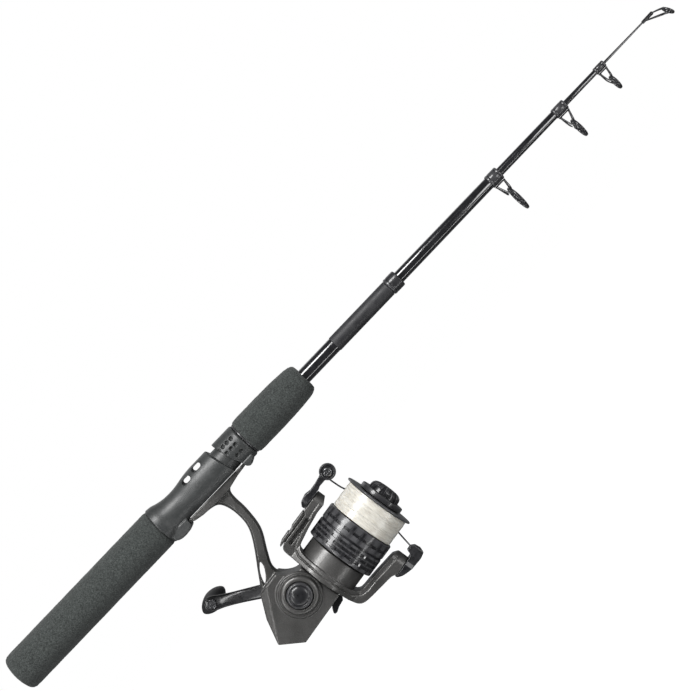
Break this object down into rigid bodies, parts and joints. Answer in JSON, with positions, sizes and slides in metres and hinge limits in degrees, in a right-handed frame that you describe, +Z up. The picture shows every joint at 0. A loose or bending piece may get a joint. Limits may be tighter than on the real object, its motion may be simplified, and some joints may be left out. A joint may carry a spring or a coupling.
{
  "type": "fishing rod and reel",
  "caption": "Telescopic fishing rod with foam grips, wire guides and a spinning reel held in a screw-down reel seat.",
  "frame": {"origin": "centre of the flat butt face", "axes": "+X along the rod from the butt to the tip, +Z up away from the reel, +Y to the crank side"},
  "size_m": [0.5778, 0.0996, 0.1439],
  "materials": {
    "foam": "closed-cell foam, matt, fine mottled grain",
    "graphite_plastic": "satin graphite grey moulding",
    "blank": "glossy black glass-fibre blank",
    "matt_black": "matt charcoal sleeve",
    "gloss_black": "glossy black",
    "gunmetal": "gunmetal metallic satin paint on die casting",
    "steel": "polished steel",
    "brass": "machined brass",
    "line": "wound clear monofilament",
    "ceramic": "polished dark ceramic",
    "felt": "drag felt",
    "black_metal": "glossy black enamel on metal"
  },
  "bodies": {
    "root": {"butt_cap": "matt_black", "rear_grip": "foam", "base_section": "blank", "blank_wrap": "matt_black", "base_collar": "gloss_black", "reel_seat": "graphite_plastic", "reel_body": "gunmetal", "side_cover": "gunmetal", "cover_screw_1": "steel", "cover_screw_2": "steel", "cover_screw_3": "steel", "bush_left": "brass", "bush_right": "brass", "pinion_bearing": "steel"},
    "hood": {"movable_hood": "graphite_plastic"},
    "foregrip_nut": {"lock_nut": "gloss_black", "foregrip": "foam"},
    "section_2_body": {"section_2": "blank", "collar_2": "gloss_black", "guide_2_frame": "gloss_black", "guide_2_ring": "ceramic"},
    "section_3_body": {"section_3": "blank", "collar_3": "gloss_black", "guide_3_frame": "gloss_black", "guide_3_ring": "ceramic"},
    "section_4_body": {"section_4": "blank", "collar_4": "gloss_black", "guide_4_frame": "gloss_black", "guide_4_ring": "ceramic"},
    "tip_body": {"tip_section": "blank", "tip_top_frame": "gloss_black", "tip_top_ring": "ceramic"},
    "rotor_body": {"rotor": "gunmetal", "rotor_nut": "brass", "pinion_gear": "brass", "arm_cover": "gunmetal", "bail_spring": "steel", "bail_pivot_pin": "steel"},
    "bail": {"bail_arm": "black_metal", "roller_screw": "steel", "bail_wire": "steel", "bail_holder": "gloss_black"},
    "roller": {"line_roller": "steel"},
    "crank": {"drive_gear": "brass", "screw_cap": "gloss_black", "crank_hub": "black_metal"},
    "crank_swing": {"crank_arm": "black_metal", "knob_pin": "steel"},
    "knob": {"crank_knob": "matt_black"},
    "oscillator": {"oscillation_gear": "brass"},
    "spool_shaft": {"main_shaft": "steel", "crosshead": "brass"},
    "spool_body": {"spool": "gloss_black", "line_on_spool": "line", "drag_washer_1": "felt", "drag_washer_2": "steel", "drag_washer_3": "felt", "drag_clip": "steel"},
    "drag": {"drag_knob": "gloss_black"},
    "anti_reverse": {"anti_reverse_lever": "gloss_black"}
  },
  "joints": [
    {"name": "section_2_slide", "type": "slide", "parent": "root", "child": "section_2_body", "axis": [1, 0, 0], "range_m": [-0.081, 0.206]},
    {"name": "section_3_slide", "type": "slide", "parent": "section_2_body", "child": "section_3_body", "axis": [1, 0, 0], "range_m": [-0.0494, 0.235]},
    {"name": "section_4_slide", "type": "slide", "parent": "section_3_body", "child": "section_4_body", "axis": [1, 0, 0], "range_m": [-0.0269, 0.254]},
    {"name": "tip_slide", "type": "slide", "parent": "section_4_body", "child": "tip_body", "axis": [1, 0, 0], "range_m": [-0.034, 0.238]},
    {"name": "hood_slide", "type": "slide", "parent": "root", "child": "hood", "axis": [1, 0, 0], "range_m": [0, 0.008]},
    {"name": "foregrip_turn", "type": "hinge", "parent": "hood", "child": "foregrip_nut", "pos_m": [0.22, 0, 0], "axis": [1, 0, 0], "range_deg": [0, 1440]},
    {"name": "rotor_spin", "type": "hinge", "parent": "root", "child": "rotor_body", "pos_m": [0.17734, 0, -0.09384], "axis": [0.9918, 0, 0.1279], "continuous": true},
    {"name": "crank_turn", "type": "hinge", "parent": "root", "child": "crank", "pos_m": [0.15772, 0, -0.09032], "axis": [0, 1, 0], "continuous": true},
    {"name": "oscillator_turn", "type": "hinge", "parent": "root", "child": "oscillator", "pos_m": [0.14659, 0, -0.09781], "axis": [0, 1, 0], "continuous": true},
    {"name": "crank_fold", "type": "hinge", "parent": "crank", "child": "crank_swing", "pos_m": [0.15772, 0.033, -0.09032], "axis": [-0.5128, 0, -0.8585], "range_deg": [-45, 0]},
    {"name": "knob_spin", "type": "hinge", "parent": "crank_swing", "child": "knob", "pos_m": [0.10518, 0.062, -0.05894], "axis": [0, 1, 0], "continuous": true},
    {"name": "bail_open", "type": "hinge", "parent": "rotor_body", "child": "bail", "pos_m": [0.20808, 0, -0.08988], "axis": [0.1279, 0, -0.9918], "range_deg": [0, 95]},
    {"name": "roller_spin", "type": "hinge", "parent": "bail", "child": "roller", "pos_m": [0.22322, -0.003, -0.05092], "axis": [0, 1, 0], "continuous": true},
    {"name": "spool_oscillate", "type": "slide", "parent": "root", "child": "spool_shaft", "axis": [0.9918, 0, 0.1279], "range_m": [-0.004, 0.008]},
    {"name": "spool_drag_spin", "type": "hinge", "parent": "spool_shaft", "child": "spool_body", "pos_m": [0.21701, 0, -0.08872], "axis": [0.9918, 0, 0.1279], "continuous": true},
    {"name": "drag_knob_turn", "type": "hinge", "parent": "spool_shaft", "child": "drag", "pos_m": [0.23684, 0, -0.08617], "axis": [0.9918, 0, 0.1279], "range_deg": [-540, 540]},
    {"name": "anti_reverse_turn", "type": "hinge", "parent": "root", "child": "anti_reverse", "pos_m": [0.16811, 0, -0.11217], "axis": [-0.1279, 0, 0.9918], "range_deg": [0, 40]}
  ],
  "couplings": [
    {"joint": "hood_slide", "follows": "foregrip_turn", "m_per_rad": 0.0003183},
    {"joint": "crank_turn", "follows": "rotor_spin", "ratio": 0.19355},
    {"joint": "oscillator_turn", "follows": "rotor_spin", "ratio": -0.25}
  ]
}
